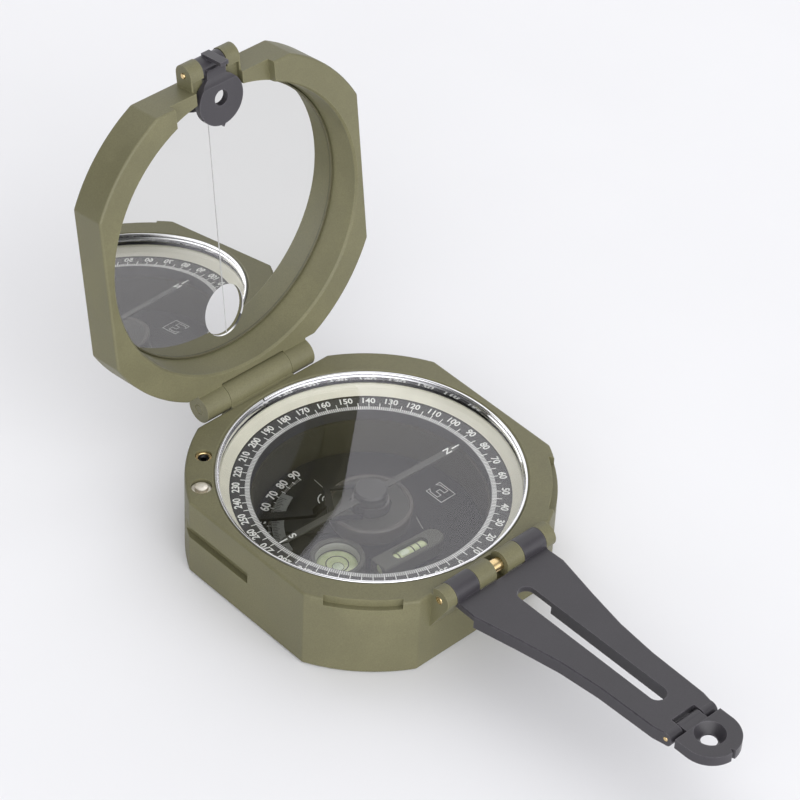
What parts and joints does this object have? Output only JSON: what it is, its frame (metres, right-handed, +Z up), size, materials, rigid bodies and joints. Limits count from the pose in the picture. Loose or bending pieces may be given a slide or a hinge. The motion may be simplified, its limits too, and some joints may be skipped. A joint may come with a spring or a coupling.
{
  "type": "sighting compass",
  "caption": "Folding sighting compass: eight-sided glazed case, mirror lid with sighting window, slotted folding sight arm, levels and clinometer.",
  "frame": {"origin": "centre of the underside of the lower case, on the dial's axis", "axes": "+Z up, out of the dial; X along the lid's hinge and the sight arm's hinge; the lid is hinged at +Y and the sight arm points along -Y"},
  "size_m": [0.073, 0.1673, 0.1032],
  "materials": {
    "olive_paint": "fine-textured olive paint, semi-matt",
    "satin_black": "satin black finish",
    "chrome": "polished",
    "brass": "bright turned brass",
    "steel": "turned steel",
    "hinge_pin_olive": "pin end painted over with the case",
    "dark_steel": "blackened steel",
    "window_glass": "clear flat crystal",
    "vial_glass": "green-tinted level vials",
    "mirror_glass": "silvered glass",
    "sight_line_white": "fine pale line",
    "gasket_rubber": "matt black",
    "luminous_cream": "pale luminous cream, matt",
    "ring_grey": "dark grey graduated ring",
    "dial_black": "matt black dial floor",
    "vernier_silver": "satin silver vernier sector",
    "level_black": "satin black level housings",
    "lever_olive": "painted finger lever",
    "mirror_ring": "thin sprung ring, dull",
    "cup_grey": "dull dark cover plate",
    "copper": "spun copper, darkened",
    "needle_dark": "dark needle with white ends",
    "hub_black": "black hub and cap",
    "magnet_iron": "sintered magnet"
  },
  "bodies": {
    "case": {"lower_case": "olive_paint", "floor_screws": "steel", "dial_wall_ring": "luminous_cream", "crystal_gasket": "gasket_rubber", "crystal": "window_glass", "bezel_ring": "chrome", "snap_ring": "chrome", "declination_bush": "brass", "plunger_ring": "steel", "plunger_spring": "steel", "lift_lever_pin": "brass", "base_plate": "dial_black", "spindle_bush": "brass", "lid_hinge_pin": "hinge_pin_olive", "sight_hinge_pin": "brass", "sight_hinge_sleeve": "brass"},
    "azimuth_ring": {"azimuth_ring": "ring_grey"},
    "pinion": {"declination_pinion": "dark_steel"},
    "plunger": {"lock_plunger": "steel"},
    "lift_lever": {"lift_lever": "dark_steel"},
    "clinometer": {"clinometer_spindle": "brass", "clinometer_arm": "dial_black", "vernier_plate": "vernier_silver", "round_level_housing": "level_black", "round_level_vial": "vial_glass", "tube_level_housing": "level_black", "tube_level_vial": "vial_glass", "clinometer_lever": "lever_olive", "lever_screw": "steel", "damping_cup": "copper", "cup_cover": "cup_grey", "pivot_post": "brass"},
    "needle": {"compass_needle": "needle_dark", "needle_hub": "hub_black", "needle_cap": "hub_black", "needle_magnet": "magnet_iron"},
    "sight_arm": {"sight_arm": "satin_black", "arm_tip_pin": "brass"},
    "arm_tip": {"arm_tip": "satin_black"},
    "lid": {"upper_case": "olive_paint", "mirror_backing": "gasket_rubber", "mirror": "mirror_glass", "mirror_retaining_ring": "mirror_ring", "sight_line": "sight_line_white", "small_sight_pin": "brass"},
    "small_sight": {"small_sight": "satin_black"}
  },
  "joints": [
    {"name": "lid_hinge", "type": "hinge", "parent": "case", "child": "lid", "pos_m": [0, 0.0399, 0.0213], "axis": [-1, 0, 0], "range_deg": [-97.8, 52]},
    {"name": "sight_arm_hinge", "type": "hinge", "parent": "case", "child": "sight_arm", "pos_m": [0, -0.0385, 0.0204], "axis": [1, 0, 0], "range_deg": [-180, 15]},
    {"name": "small_sight_hinge", "type": "hinge", "parent": "lid", "child": "small_sight", "pos_m": [0, 0.05556, 0.0995], "axis": [-1, 0, 0], "range_deg": [0, 180]},
    {"name": "arm_tip_hinge", "type": "hinge", "parent": "sight_arm", "child": "arm_tip", "pos_m": [0, -0.096, 0.01825], "axis": [-1, 0, 0], "range_deg": [0, 90]},
    {"name": "azimuth_ring_turn", "type": "hinge", "parent": "case", "child": "azimuth_ring", "pos_m": [0, 0, 0.0142], "axis": [0, 0, 1], "continuous": true},
    {"name": "pinion_turn", "type": "hinge", "parent": "case", "child": "pinion", "pos_m": [-0.02439, 0.02816, 0.0138], "axis": [0, 0, 1], "continuous": true},
    {"name": "needle_turn", "type": "hinge", "parent": "case", "child": "needle", "pos_m": [0, 0, 0.0144], "axis": [0, 0, 1], "continuous": true},
    {"name": "clinometer_turn", "type": "hinge", "parent": "case", "child": "clinometer", "pos_m": [0, 0, 0.0045], "axis": [0, 0, 1], "range_deg": [-90, 90]},
    {"name": "plunger_press", "type": "slide", "parent": "case", "child": "plunger", "axis": [0, 0, 1], "range_m": [-0.00055, 0], "stiffness_N_per_m": 400, "springref_m": 0.001, "deforming": ["plunger_spring"]},
    {"name": "lift_lever_rock", "type": "hinge", "parent": "case", "child": "lift_lever", "pos_m": [-0.02285, 0.0153, 0.0098], "axis": [-0.5563, -0.831, 0], "range_deg": [0, 3.3]}
  ],
  "couplings": [
    {"joint": "pinion_turn", "follows": "azimuth_ring_turn", "ratio": -17.625},
    {"joint": "lift_lever_rock", "follows": "plunger_press", "rad_per_m": -101}
  ]
}
